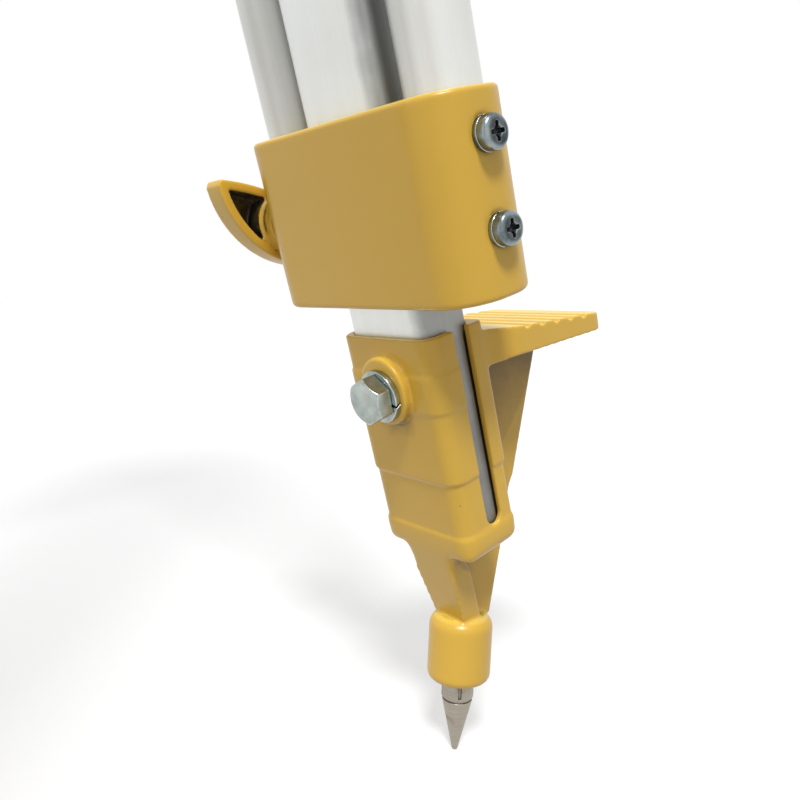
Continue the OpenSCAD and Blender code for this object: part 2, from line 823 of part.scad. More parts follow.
module foot_washer() {
    color("gray") at_foot() translate([0, boss_face - seat, -bolt_drop]) rotate([90, 0, 0])
        rotate([0, 0, -15]) split_ring(bolt_ring_d / 2, bolt_d / 2 + fit, bolt_ring_t);
}

module foot_point() {
    neck_r = collar_r - 1;
    color("gray") at_foot() at_spike() difference() {
        union() {
            cylinder(r1 = tip_r, r2 = collar_r - 0.25, h = cone_top);
            translate([0, 0, cone_top / 2]) cylinder(r = neck_r, h = cone_top / 2 + 2);
            translate([0, 0, cone_top + 1]) cylinder(r = collar_r, h = collar_l);
            translate([0, 0, cone_top]) cylinder(r = shank_r, h = collar_l + 1 + shank_l);
        }
        difference() {
            translate([0, 0, -1]) cylinder(r = collar_r + 1, h = cone_top + 1);
            cylinder(r1 = tip_r, r2 = collar_r - 0.25, h = cone_top);
        }
        for (i = [0 : notch_n - 1]) rotate([0, 0, -36 + i * 360 / notch_n])
            translate([collar_r - 0.9, -notch_w / 2, cone_top + 1.8]) cube([3, notch_w, collar_l]);
    }
}

// Hinges

module hinge_bolt() {
    color("lightgray") rotate([0, 90, 0]) {
        translate([0, 0, -ear_out - seat]) mirror([0, 0, 1]) hexagon(hinge_af, hinge_head_h);
        translate([0, 0, -ear_out - 1])
            cylinder(r = hinge_d / 2, h = 2 * ear_out + hinge_ring_t + hinge_nut_h + 4);
    }
}

module hinge_nut() {
    color("gray") rotate([0, 90, 0]) {
        translate([0, 0, ear_out + seat]) ring(hinge_ring_r, hinge_d / 2 + fit, hinge_ring_t);
        translate([0, 0, ear_out + hinge_ring_t + 2 * seat]) difference() {
            hexagon(hinge_af, hinge_nut_h);
            translate([0, 0, -1]) cylinder(r = hinge_d / 2 + fit, h = hinge_nut_h + 2);
        }
    }
}

// Head, with z = 0 at its top face

module at_pivot() {
    translate([0, -pivot_r, 0]) children();
}

module at_keeper_posts() {
    for (s = [-1, 1]) at_pivot() rotate([0, 0, s * keeper_post]) translate([0, keeper_r, 0]) children();
}

module hinge_ears() {
    for (k = legs, s = [-1, 1]) on_hinge(k)
        translate([s * (ear_in + ear_t / 2), 0, 0]) rotate([0, 90, 0]) {
            cylinder(r = ear_r, h = ear_t, center = true);
            translate([-hinge_drop / 2, 0, 0])
                cube([hinge_drop - 2, 2 * ear_r, ear_t], center = true);
        }
}

module head_casting() {
    color("goldenrod") difference() {
        union() {
            translate([0, 0, -head_t]) cylinder(r = head_d / 2, h = head_t - 1);
            translate([0, 0, -1]) cylinder(r1 = head_d / 2, r2 = head_d / 2 - 1, h = 1);
            translate([0, 0, -rim_h]) ring(head_d / 2, head_d / 2 - rim_t, rim_h - 2);
            translate([0, 0, -collar_low]) cylinder(r = hole_d / 2 + collar_t, h = collar_low - 2);
            at_pivot() translate([0, 0, -collar_low]) cylinder(r = pivot_boss_r, h = collar_low - 2);
            at_keeper_posts() translate([0, 0, arm_low - move_gap])
                cylinder(r = post_r, h = -arm_low + move_gap - 2);
            intersection() {
                hinge_ears();
                translate([0, 0, -far]) cylinder(r = head_d / 2, h = far - 2);
            }
        }
        translate([0, 0, -far / 2]) cylinder(r = hole_d / 2, h = far);
        for (k = legs) on_hinge(k) rotate([0, 90, 0])
            cylinder(r = hinge_d / 2 + fit, h = 3 * ear_out, center = true);
        at_pivot() translate([0, 0, -collar_low - 1]) cylinder(r = pivot_d / 2 + fit, h = collar_low - 2);
        at_keeper_posts() translate([0, 0, arm_low - 1]) cylinder(r = pan_r + fit, h = 10);
    }
}

module centring_arm() {
    color("silver") translate([0, 0, arm_low]) difference() {
        union() {
            at_pivot() cylinder(d = arm_root_w, h = arm_t);
            linear_extrude(arm_t) polygon([
                [-arm_root_w / 2, -pivot_r], [-arm_w / 2, arm_neck - pivot_r],
                [-arm_w / 2, arm_full], [-arm_tip_w / 2, arm_reach],
                [arm_tip_w / 2, arm_reach], [arm_w / 2, arm_full],
                [arm_w / 2, arm_neck - pivot_r], [arm_root_w / 2, -pivot_r]
            ]);
        }
        at_pivot() translate([0, 0, -1]) cylinder(r = pivot_d / 2 + fit, h = arm_t + 2);
        translate([0, 0, -1]) linear_extrude(arm_t + 2)
            square([bush_w + 0.2, bush_w + 2 * screw_travel + 0.6], center = true);
    }
}

module head_screws() {
    color("lightgray") {
        at_pivot() translate([0, 0, arm_low - move_gap]) mirror([0, 0, 1]) pan_screw(pivot_l, pivot_d / 2);
        at_keeper_posts() translate([0, 0, keeper_low - seat])
            mirror([0, 0, 1]) pan_screw(pan_l, pan_r);
    }
}

// Curved strip under the arm's free end, on two posts
module arm_keeper() {
    color("silver") translate([0, 0, keeper_low]) difference() {
        at_pivot() rotate([0, 0, 90 - keeper_end]) rotate_extrude(angle = 2 * keeper_end)
            translate([keeper_r - keeper_in, 0]) square([2 * keeper_in, keeper_t]);
        at_keeper_posts() translate([0, 0, -1]) cylinder(r = pan_r + fit, h = keeper_t + 2);
    }
}

module screw_bush() {
    color("silver") translate([0, 0, arm_low - move_gap - flange_t]) difference() {
        union() {
            cylinder(d = bush_flange, h = flange_t);
            linear_extrude(flange_t + move_gap + arm_t - seat) square(bush_w, center = true);
        }
        translate([0, 0, -1]) cylinder(r = screw_r + fit, h = 20);
    }
}

module fixing_screw() {
    color("lightgray") difference() {
        union() {
            translate([0, 0, screw_up - 1]) cylinder(r1 = screw_r, r2 = screw_r - 1, h = 1);
            translate([0, 0, snap_z + snap_t + seat])
                cylinder(r = screw_r, h = screw_up - 1 - snap_z - snap_t - seat);
            translate([0, 0, snap_z - seat]) cylinder(r = screw_r - groove_in, h = snap_t + 3 * seat);
            translate([0, 0, grip_top - grip_seat])
                cylinder(r = screw_r, h = snap_z - grip_top + grip_seat - seat);
        }
        translate([0, 0, -far]) cylinder(d = screw_bore, h = 2 * far);
    }
}

module retaining_ring() {
    color("gray") translate([0, 0, snap_z]) difference() {
        ring(snap_r, screw_r - groove_in + fit, snap_t);
        translate([0, -1.5, -1]) cube([snap_r + 1, 3, snap_t + 2]);
    }
}

module screw_grip() {
    color("black") difference() {
        round_bar(grip_d / 2, grip_top - grip_l, grip_top, 3, 2);
        for (i = [0 : flute_n - 1]) rotate([0, 0, i * 360 / flute_n])
            translate([grip_d / 2 + flute_r / 2, 0, grip_top - grip_l - 1])
                cylinder(r = flute_r, h = grip_l - 5);
        translate([0, 0, grip_top - grip_seat - seat]) cylinder(r = screw_r + fit, h = grip_l);
        translate([0, 0, -far]) cylinder(d = screw_bore, h = far);
    }
}

// Wire hook hung in the grip's lower end
module plumb_hook() {
    stem_r = screw_bore / 2 - fit;
    low = grip_top - grip_l;
    color("gray") {
        translate([0, 0, low - 3]) cylinder(r = stem_r, h = 8);
        translate([0, 0, low - 8]) cylinder(r = hook_wire, h = 6);
        translate([0, 0, low - 8 - hook_bend]) rotate([90, 0, 0]) rotate([0, 0, -180])
            rotate_extrude(angle = 270) translate([hook_bend, 0]) circle(hook_wire);
    }
}

head_casting();
centring_arm();
head_screws();
arm_keeper();
screw_bush();
fixing_screw();
retaining_ring();
screw_grip();
plumb_hook();
for (k = legs) {
    on_leg(k) leg_top();
    on_leg(k) tube_left();
    on_leg(k) tube_right();
    on_hinge(k) hinge_bolt();
    on_hinge(k) hinge_nut();
    on_leg(k) clamp_casting();
    on_leg(k) pan_screws();
    on_leg(k) spring_washers();
    on_leg(k) wing_knob();
    on_leg(k) clamp_stud();
    on_leg(k) brake_pad();
    on_leg(k) inner_tube();
    on_leg(k) slider_guide();
    on_leg(k) foot_casting();
    on_leg(k) foot_bolt();
    on_leg(k) foot_washer();
    on_leg(k) foot_point();
}
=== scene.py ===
import math

import bmesh
import bpy
import numpy as np
from mathutils import Matrix, Vector
from mathutils.bvhtree import BVHTree


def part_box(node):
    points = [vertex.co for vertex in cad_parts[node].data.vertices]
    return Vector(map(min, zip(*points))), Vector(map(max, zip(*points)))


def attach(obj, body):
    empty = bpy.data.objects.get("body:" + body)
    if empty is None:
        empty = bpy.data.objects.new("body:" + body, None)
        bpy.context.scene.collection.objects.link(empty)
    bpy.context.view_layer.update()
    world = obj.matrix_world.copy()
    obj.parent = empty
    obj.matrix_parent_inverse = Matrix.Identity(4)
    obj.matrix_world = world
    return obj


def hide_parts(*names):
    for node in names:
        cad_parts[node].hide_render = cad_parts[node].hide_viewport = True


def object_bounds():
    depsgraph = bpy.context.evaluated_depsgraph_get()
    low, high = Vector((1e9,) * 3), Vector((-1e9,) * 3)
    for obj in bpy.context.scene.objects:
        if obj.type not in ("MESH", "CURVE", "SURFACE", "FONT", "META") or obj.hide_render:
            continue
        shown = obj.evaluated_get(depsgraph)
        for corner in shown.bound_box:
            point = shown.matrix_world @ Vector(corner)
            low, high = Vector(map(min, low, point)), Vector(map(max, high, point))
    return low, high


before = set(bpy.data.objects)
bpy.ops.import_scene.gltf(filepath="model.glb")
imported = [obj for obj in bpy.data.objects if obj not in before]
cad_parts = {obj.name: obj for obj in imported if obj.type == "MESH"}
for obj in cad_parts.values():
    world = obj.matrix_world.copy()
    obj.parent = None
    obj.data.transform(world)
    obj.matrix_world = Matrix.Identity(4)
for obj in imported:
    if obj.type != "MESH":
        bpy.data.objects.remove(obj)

CAD_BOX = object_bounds()
SCENE = bpy.context.scene

# Camera: it stands low beside the first leg's foot and looks a little down at it.
# The lens and the place were fitted to the photograph's lines.
PHOTO_RIGHT = Vector((0.64296, 0.76590, -0.00323))
PHOTO_UP = Vector((-0.10510, 0.09240, 0.99016))
PHOTO_AHEAD = Vector((-0.75866, 0.63629, -0.13990))
PHOTO_EYE = Vector((0.19423, 0.11379, -0.84008))
SENSOR_MM, LENS_MM = 36, 34.27
NEAREST, FARTHEST = 0.02, 60
camera = bpy.data.objects.new("photo_camera", bpy.data.cameras.new("photo_camera"))
camera.data.sensor_width = SENSOR_MM
camera.data.lens = LENS_MM
camera.data.clip_start = NEAREST
camera.data.clip_end = FARTHEST
camera.matrix_world = Matrix((
    (PHOTO_RIGHT.x, PHOTO_UP.x, -PHOTO_AHEAD.x, PHOTO_EYE.x),
    (PHOTO_RIGHT.y, PHOTO_UP.y, -PHOTO_AHEAD.y, PHOTO_EYE.y),
    (PHOTO_RIGHT.z, PHOTO_UP.z, -PHOTO_AHEAD.z, PHOTO_EYE.z),
    (0, 0, 0, 1),
))
SCENE.collection.objects.link(camera)
SCENE.camera = camera
SCENE.view_settings.view_transform = "Standard"


# Studio: a pale floor that the steel points stand on, a surround that camera and metal see as
# plain white and that lights softly from the front, and one broad lamp from above on the right.
class Value:
    """A shader socket that takes part in sums."""

    def __init__(self, nodes, socket):
        self.nodes, self.socket = nodes, socket

    def maths(self, operation, *terms):
        return self.nodes.add("Math", {"operation": operation}, dict(enumerate(terms)))

    def __add__(self, other):
        return self.maths("ADD", self, other)

    __radd__ = __add__

    def __sub__(self, other):
        return self.maths("SUBTRACT", self, other)

    def __rsub__(self, other):
        return self.maths("SUBTRACT", other, self)

    def __mul__(self, other):
        return self.maths("MULTIPLY", self, other)

    __rmul__ = __mul__

    def step(self, low, high):
        """0 below low, 1 above high, and a straight ramp between."""
        return self.nodes.add("MapRange", None, {0: self, 1: low, 2: high})


class Nodes:
    """The nodes of one material, or of the world."""

    def __init__(self, owner):
        owner.use_nodes = True
        self.tree = owner.node_tree
        self.tree.nodes.clear()

    def add(self, kind, settings=None, sockets=None, out=0):
        """A node of a kind, with its settings and its sockets' values or links: its output out."""
        node = self.tree.nodes.new("ShaderNode" + kind)
        for key, value in (settings or {}).items():
            setattr(node, key, value)
        for key, value in (sockets or {}).items():
            if isinstance(value, Value):
                self.tree.links.new(value.socket, node.inputs[key])
            else:
                node.inputs[key].default_value = value
        return Value(self, node.outputs[out]) if node.outputs else None

    def looked_at(self):
        """1 where the camera, a mirror or a glass looks, and 0 where soft light is gathered."""
        seen = self.add("LightPath", out="Is Camera Ray")
        for kind_of_ray in ("Is Glossy Ray", "Is Transmission Ray"):
            seen = seen.maths("MAXIMUM", seen, self.add("LightPath", out=kind_of_ray))
        return seen


WHITE = (1, 1, 1, 1)
SOFT_FROM = (-0.35, -0.75, 0.56)
SOFT_BEHIND, SOFT_AHEAD, PLAIN = 0.04, 0.8, 1.0
world = bpy.data.worlds.new("white_surround")
SCENE.world = world
air = Nodes(world)
toward = air.add("VectorMath", {"operation": "DOT_PRODUCT"}, {
    0: air.add("TexCoord", out="Generated"), 1: SOFT_FROM}, out="Value")
soft_light = air.add("MixShader", None, {
    0: toward.step(-1, 1),
    1: air.add("Background", None, {"Color": WHITE, "Strength": SOFT_BEHIND}),
    2: air.add("Background", None, {"Color": WHITE, "Strength": SOFT_AHEAD}),
})
plain_white = air.add("Background", None, {"Color": WHITE, "Strength": PLAIN})
air.add("OutputWorld", None, {"Surface": air.add("MixShader", None, {
    0: air.looked_at(), 1: soft_light, 2: plain_white})})

LAMP_STRENGTH, LAMP_SPREAD = 2.5, 12
lamp = bpy.data.objects.new("broad_lamp", bpy.data.lights.new("broad_lamp", "SUN"))
lamp.data.energy = LAMP_STRENGTH
lamp.data.angle = math.radians(LAMP_SPREAD)
LAMP_FROM = Vector((0.45, -0.35, 0.82))
lamp.matrix_world = LAMP_FROM.to_track_quat("Z", "Y").to_matrix().to_4x4()
SCENE.collection.objects.link(lamp)

FLOOR_R, FLOOR_SIDES = 14, 96
LIT_GREY, GLOW, UNSEEN_GREY = 0.5, 0.5, 0.4
floor_mesh = bpy.data.meshes.new("pale_floor")
ground = bmesh.new()
bmesh.ops.create_circle(ground, cap_ends=True, segments=FLOOR_SIDES, radius=FLOOR_R)
ground.to_mesh(floor_mesh)
ground.free()
floor = bpy.data.objects.new("pale_floor", floor_mesh)
floor.location.z = CAD_BOX[0].z
SCENE.collection.objects.link(floor)
pale = bpy.data.materials.new("pale_floor")
floor_mesh.materials.append(pale)
paint = Nodes(pale)
lit = paint.add("BsdfDiffuse", None, {"Color": (LIT_GREY, LIT_GREY, LIT_GREY, 1)})
glow = paint.add("Emission", None, {"Color": WHITE, "Strength": GLOW})
unseen = paint.add("BsdfDiffuse", None, {"Color": (UNSEEN_GREY, UNSEEN_GREY, UNSEEN_GREY, 1)})
paint.add("OutputMaterial", None, {"Surface": paint.add("MixShader", None, {
    0: paint.looked_at(), 1: unseen, 2: paint.add("AddShader", None, {0: lit, 1: glow})})})


# Head: a round plate with a rim and three pairs of hinge ears, cast in aluminium in one piece.
# It is sprayed with yellow enamel, which lies in a fine orange peel over the cast skin, rubs thin
# along the edges, turns darker in the inner corners, and carries a few specks and pin holes. Its
# colour also holds painted light: a painted highlight on faces that point up and on the edges, and
# painted shade where the piece shelters a point.
def srgb(red, green, blue):
    """A colour read off a screen, as the shader counts it."""
    return tuple(((c / 255 + 0.055) / 1.055) ** 2.4 for c in (red, green, blue)) + (1,)


MICRON = 1e-6


class Finish(Nodes):
    """A material with one Principled shader."""

    def __init__(self, name, **constants):
        self.material = bpy.data.materials.new(name)
        super().__init__(self.material)
        shader = self.add("BsdfPrincipled", None, constants)
        self.add("OutputMaterial", None, {"Surface": shader})
        self.shader = shader.socket.node
        self.place = self.add("TexCoord", out="Object")

    def noise(self, scale, detail, place=None):
        """Soft random spots, so many to the metre."""
        return self.add("TexNoise", None, {
            "Vector": place or self.place, "Scale": scale, "Detail": detail}, out="Fac")

    def mark(self, name):
        """A number that each point of the mesh carries."""
        return self.add("Attribute", {"attribute_name": name}, out="Fac")

    def blend(self, amount, first, second):
        """The first colour where amount is 0, and the second where it is 1."""
        return self.add("Mix", {"data_type": "RGBA"}, {0: amount, 6: first, 7: second}, out=2)

    def stretched(self, x, y, z):
        """The place on the piece, scaled along each axis, for noise that is drawn out."""
        return self.add("VectorMath", {"operation": "MULTIPLY"}, {0: self.place, 1: (x, y, z)})

    def wire(self, **links):
        """Links values that vary over the surface into the shader."""
        for key, value in links.items():
            self.tree.links.new(value.socket, self.shader.inputs[key.replace("_", " ")])

    def relief(self, height):
        """Height in metres, as a bump."""
        self.wire(Normal=self.add("Bump", None, {"Distance": 1.0, "Height": height}))


def yellow_enamel(name):
    """The enamel, with its base colour still free for what lies over it."""
    enamel = Finish(name)
    curving, sheltered = enamel.mark("curving"), enamel.mark("sheltered")
    peel = enamel.noise(900, 2)
    waves = enamel.noise(70, 2)
    cloud = enamel.noise(16, 3)
    grit = enamel.noise(260, 4)
    specks = enamel.add("TexVoronoi", None, {"Vector": enamel.place, "Scale": 75}, out="Distance")
    speck = (1 - specks.step(0.03, 0.06)) * enamel.noise(40, 1).step(0.55, 0.6)
    # Edges rubbed thin, and painted lighter there as a highlight as well.
    rubbed_and_highlit = (curving + grit * 0.5 - 0.25).step(0.42, 0.9)
    chipped = (curving + grit * 0.9 - 0.45).step(0.86, 0.9)
    # Darker and duller in the inner corners.
    corner_darkening = (grit * 0.35 - curving).step(0.32, 0.95)
    colour = enamel.blend(cloud, srgb(222, 179, 66), srgb(214, 170, 59))
    # Painted highlight: faces that point up are lighter and yellower, as the lamp from above
    # lights them.
    painted_top_light = enamel.add("SeparateXYZ", None, {0: enamel.add("TexCoord", out="Normal")}, out="Z")
    colour = enamel.blend(painted_top_light.step(0.7, 0.98) * 0.6, colour, srgb(246, 224, 104))
    # Painted shade: darker the more the piece shelters a point, as under the pedal.
    painted_shade = (sheltered + grit * 0.12 - 0.06).step(0.5, 0.95)
    colour = enamel.blend(painted_shade * 0.85, colour, srgb(104, 78, 8))
    colour = enamel.blend(rubbed_and_highlit * 0.65, colour, srgb(242, 208, 122))
    colour = enamel.blend(corner_darkening * 0.6, colour, srgb(128, 94, 40))
    colour = enamel.blend(speck * 0.7, colour, srgb(96, 74, 40))
    colour = enamel.blend(chipped * 0.8, colour, srgb(176, 172, 160))
    enamel.wire(Roughness=0.27 + cloud * 0.1 + corner_darkening * 0.25, Metallic=chipped * 0.7)
    enamel.relief(9 * MICRON * peel + 120 * MICRON * waves
                  - 40 * MICRON * speck - 30 * MICRON * chipped)
    return enamel, colour


enamel, enamel_colour = yellow_enamel("yellow_enamel")
enamel.wire(Base_Color=enamel_colour)


HALF_WAY, MELTING_ROUNDS = 0.5, 60


def softened(node, grain, rounds, keep, place=Matrix.Identity(4), melted=None):
    """A node's shape, in the frame of place, with its edges rounded off.

    It is cut into voxels of the size grain and smoothed in so many rounds, and keep is the share
    of its faces that stays. Its points get "worn", which says how far each was drawn in: above 0
    on an edge, below 0 in a corner. melted, where given, tells from the points where the shape is
    rounder still.
    """
    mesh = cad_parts[node].data.copy()
    mesh.transform(place.inverted())
    block = bpy.data.objects.new("block", mesh)
    SCENE.collection.objects.link(block)
    remesh = block.modifiers.new("grain", "REMESH")
    remesh.mode = "VOXEL"
    remesh.voxel_size = grain
    view = bpy.context.evaluated_depsgraph_get()
    fine = bpy.data.meshes.new_from_object(block.evaluated_get(view))
    points = np.empty(len(fine.vertices) * 3)
    fine.vertices.foreach_get("co", points)
    points = points.reshape(-1, 3)
    normals = np.empty(points.size)
    fine.vertices.foreach_get("normal", normals)
    ends = np.empty(len(fine.edges) * 2, dtype=np.int64)
    fine.edges.foreach_get("vertices", ends)
    ends = ends.reshape(-1, 2)
    count = len(points)
    neighbours = np.bincount(ends.ravel(), minlength=count)[:, None]
    smooth = points.copy()

    def relax(share):
        around = np.stack([
            np.bincount(ends[:, 0], smooth[ends[:, 1], axis], count)
            + np.bincount(ends[:, 1], smooth[ends[:, 0], axis], count)
            for axis in range(3)
        ], 1) / neighbours
        return smooth + share * (around - smooth)

    for _ in range(rounds):
        smooth = relax(HALF_WAY)
    drawn_in = ((points - smooth) * normals.reshape(-1, 3)).sum(1) / grain
    if melted:
        share = HALF_WAY * melted(points)[:, None]
        for _ in range(MELTING_ROUNDS):
            smooth = relax(share)
    fine.vertices.foreach_set("co", smooth.ravel())
    # This value drives wear, and also the finishes' painted edge highlights and corner shade.
    curving = fine.attributes.new("curving", "FLOAT", "POINT")
    curving.data.foreach_set("value", drawn_in.astype(np.float32))
    block.modifiers.clear()
    block.data = fine
    fewer = block.modifiers.new("fewer", "DECIMATE")
    fewer.ratio = keep
    view = bpy.context.evaluated_depsgraph_get()
    mesh = bpy.data.meshes.new_from_object(block.evaluated_get(view))
    bpy.data.objects.remove(block)
    mesh.shade_smooth()
    return mesh


RAYS, GOLDEN_TURN, OFF_THE_SKIN = 14, 2.4, 0.0001


def shelter(mesh, reach, lean=0.0):
    """Gives each point "sheltered": the part of its open side that the piece fills within reach.

    With lean, what is above a point counts for more than what is beside it.
    """
    tree = BVHTree.FromPolygons([vertex.co for vertex in mesh.vertices],
                                [tuple(face.vertices) for face in mesh.polygons])
    fan = []
    for number in range(RAYS):
        up = math.sqrt(1 - (number + 0.5) / RAYS)
        out, turn = math.sqrt(1 - up * up), GOLDEN_TURN * number
        fan.append(Vector((out * math.cos(turn), out * math.sin(turn), up)))
    above = Vector((0, 0, lean))
    values = np.zeros(len(mesh.vertices), dtype=np.float32)
    for vertex in mesh.vertices:
        start = vertex.co + vertex.normal * OFF_THE_SKIN
        facing = vertex.normal.to_track_quat("Z", "Y")
        met = sum(tree.ray_cast(start, facing @ ray + above, reach)[0] is not None for ray in fan)
        values[vertex.index] = met / RAYS
    mesh.attributes.new("sheltered", "FLOAT", "POINT").data.foreach_set("value", values)
    return mesh


def set_up(name, mesh, finish, body, nodes, place=Matrix.Identity(4)):
    """One piece on its body, in place of the frame's plain nodes."""
    mesh.materials.clear()
    mesh.materials.append(finish.material)
    piece = bpy.data.objects.new(name, mesh)
    SCENE.collection.objects.link(piece)
    piece.matrix_world = place
    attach(piece, body)
    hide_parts(*nodes)


head_shape = softened("head_casting", grain=0.0009, rounds=6, keep=0.35)
set_up("cast_head", shelter(head_shape, reach=0.02), enamel,
       "head", ["head_casting"])


# Centring arm and its keeper: a 4 mm arm of milled aluminium swings on a screw under the head,
# and a bent strip holds it up. The arm keeps the fine lines of the cutter along its length.
def metal_grade(name, shade, lines, roughness, grease_and_shade=None):
    """Bare aluminium, with lines along one direction, soft clouds, scuffs and dark corners.

    shade holds three tones, and lines says how often it changes along x, y and z. The last
    argument, where given, tells from the finish where old grease and painted shade darken it.
    """
    metal = Finish(name, Metallic=0.75)
    curving = metal.mark("curving")
    streaks = metal.noise(1.0, 3, metal.stretched(*lines))
    broad = metal.noise(1.0, 1, metal.stretched(*(line * 0.16 for line in lines)))
    cloud = metal.noise(22, 3)
    scuffs = metal.noise(1.0, 2, metal.stretched(420, 420, 90)).step(0.66, 0.74)
    corner = (0 - curving).step(0.1, 0.5)
    colour = metal.blend(streaks * 0.6 + broad * 0.4, shade[0], shade[1])
    colour = metal.blend(cloud.step(0.35, 0.75) * 0.35, colour, shade[2])
    colour = metal.blend(corner * 0.7, colour, (0.08, 0.08, 0.078, 1))
    # Grease and painted shade, where the finish asks for them.
    if grease_and_shade:
        colour = metal.blend(grease_and_shade(metal), colour, (0.035, 0.035, 0.034, 1))
    metal.wire(Base_Color=colour,
               Roughness=roughness + streaks * 0.14 + cloud * 0.1 + scuffs * 0.12 + corner * 0.2)
    metal.relief(3 * MICRON * streaks + 5 * MICRON * broad - 4 * MICRON * scuffs)
    return metal


milled = metal_grade("milled_aluminium",
                     (srgb(214, 214, 211), srgb(190, 190, 187), srgb(168, 168, 165)),
                     lines=(1500, 20, 1500), roughness=0.26)
arm_shape = softened("centring_arm", grain=0.00045, rounds=3, keep=0.3)
set_up("swinging_arm", arm_shape, milled, "arm", ["centring_arm"])


# Screws, keeper, nuts and washers are steel with bright zinc plate: bluish, a little cloudy
# from handling, with a painted highlight on their edges, and dull and dark in the recesses with
# dirt and painted shade.
def zinc_plate(name, bright, dull):
    """Zinc in two tones, wiped in streaks, painted highlight on edges, dirt and painted shade in
    corners.
    """
    zinc = Finish(name, Metallic=1.0)
    curving, sheltered = zinc.mark("curving"), zinc.mark("sheltered")
    cloud = zinc.noise(180, 3)
    fine = zinc.noise(2600, 2)
    wipes = zinc.noise(1.0, 2, zinc.stretched(900, 260, 260))
    # Dirt and painted shade: dark where the piece shelters a point and in inner corners.
    dirt_and_shade = (sheltered + cloud * 0.5 - 0.25).step(0.3, 0.75)
    corner = (dirt_and_shade + (0 - curving).step(0.06, 0.4)).step(0, 1)
    # Painted highlight along the edges.
    edge_highlight = curving.step(0.1, 0.45)
    colour = zinc.blend(cloud.step(0.3, 0.7), bright, dull)
    colour = zinc.blend(wipes.step(0.5, 0.7) * 0.4, colour, srgb(176, 172, 158))
    colour = zinc.blend(edge_highlight * 0.8, colour, srgb(234, 239, 240))
    colour = zinc.blend(corner * 0.92, colour, srgb(34, 36, 37))
    zinc.wire(Base_Color=colour, Roughness=0.17 + cloud * 0.12 + corner * 0.35 + fine * 0.05)
    zinc.relief(1.2 * MICRON * fine + 6 * MICRON * cloud)
    return zinc


zinc = zinc_plate("zinc_plate", srgb(184, 193, 188), srgb(146, 156, 151))
small_screws = softened("head_screws", grain=0.00022, rounds=4, keep=0.3)
set_up("pivot_and_keeper_screws", small_screws, zinc, "head", ["head_screws"])
bent_strip = softened("arm_keeper", grain=0.0004, rounds=3, keep=0.35)
set_up("keeper_strip", bent_strip, zinc, "head", ["arm_keeper"])


# Bush: turned and milled brass, square where it slides in the arm's slot, with a round flange.
# It has gone brown in patches and is bright where it rubs. Its outer faces stand back a little,
# so that it runs free along the slot.
brass = Finish("worked_brass", Metallic=1.0)
brass_worn = brass.mark("curving")
tarnish = brass.noise(120, 4)
lathe_lines = brass.noise(1.0, 1, brass.stretched(60, 60, 3800))
brass_colour = brass.blend(tarnish.step(0.4, 0.7), srgb(206, 172, 98), srgb(160, 122, 64))
brass_colour = brass.blend(brass_worn.step(0.08, 0.4) * 0.8, brass_colour, srgb(232, 204, 138))
brass.wire(Base_Color=brass_colour, Roughness=0.24 + tarnish * 0.25 + lathe_lines * 0.08)
brass.relief(3 * MICRON * lathe_lines + 4 * MICRON * tarnish)
bush = softened("screw_bush", grain=0.0003, rounds=3, keep=0.3)
BUSH_EASE, BUSH_BORE = 0.985, 0.009
for vertex in bush.vertices:
    if math.hypot(vertex.co.x, vertex.co.y) > BUSH_BORE:
        vertex.co.x *= BUSH_EASE
        vertex.co.y *= BUSH_EASE
set_up("sliding_bush", bush, brass, "bush", ["screw_bush"])


# Instrument screw: a hollow 5/8-inch screw of turned steel with a rolled thread, a spring ring
# in a groove above the arm, and a fluted grip of black plastic moulded over its lower end.
SHARP_FROM = math.radians(32)


def skinned(name, loops):
    """Mesh of closed loops of points, each joined to the next, and the last to the first."""
    mesh = bpy.data.meshes.new(name)
    shape = bmesh.new()
    rows = [[shape.verts.new(point) for point in loop] for loop in loops]
    for lower, upper in zip(rows, rows[1:] + rows[:1]):
        for number in range(len(lower)):
            after = (number + 1) % len(lower)
            shape.faces.new((lower[number], lower[after], upper[after], upper[number]))
    bmesh.ops.recalc_face_normals(shape, faces=shape.faces)
    shape.to_mesh(mesh)
    shape.free()
    mesh.shade_smooth()
    mesh.set_sharp_from_angle(angle=SHARP_FROM)
    return mesh


def revolved(outline, sides, relief=None):
    """Mesh of a closed outline of (radius, height) points, turned round the z axis.

    relief, where given, tells how far a point lies in, from its radius, angle and height.
    """
    loops = []
    for radius, height in outline:
        loop = []
        for number in range(sides):
            angle = 2 * math.pi * number / sides
            out = radius - (relief(radius, angle, height) if relief else 0)
            loop.append((out * math.cos(angle), out * math.sin(angle), height))
        loops.append(loop)
    return skinned("turned", loops)


THREAD_R, THREAD_PITCH, THREAD_DEPTH = 0.00794, 0.00231, 0.0011
SCREW_BORE_R = 0.004
THREAD_RUNOUT, RUNOUT_FROM, FLANK_STEEP, ROOT_FLAT = 0.0015, 0.3, 1.25, 0.1
GROOVE_DEPTH, END_BEVEL, BORE_BEVEL = 0.0008, 0.001, 0.0004
SCREW_SIDES, FINE_STEP, TENTH_MM, HAIR = 96, 0.00022, 0.0001, 1e-5
SCREW_LOW, SCREW_HIGH = (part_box("fixing_screw")[side].z for side in (0, 1))
RING_LOW, RING_HIGH = (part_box("retaining_ring")[side].z for side in (0, 1))


def thread_relief(radius, angle, height):
    """The thread's flanks, with flat crests and roots, running out at the screw's upper end."""
    if radius < THREAD_R - HAIR:
        return 0
    turn = (height / THREAD_PITCH - angle / (2 * math.pi)) % 1
    fade = min(1, max(0, (SCREW_HIGH - height) / THREAD_RUNOUT - RUNOUT_FROM))
    flank = FLANK_STEEP * (1 - abs(2 * turn - 1)) - ROOT_FLAT
    return THREAD_DEPTH * fade * min(1, max(0, flank))


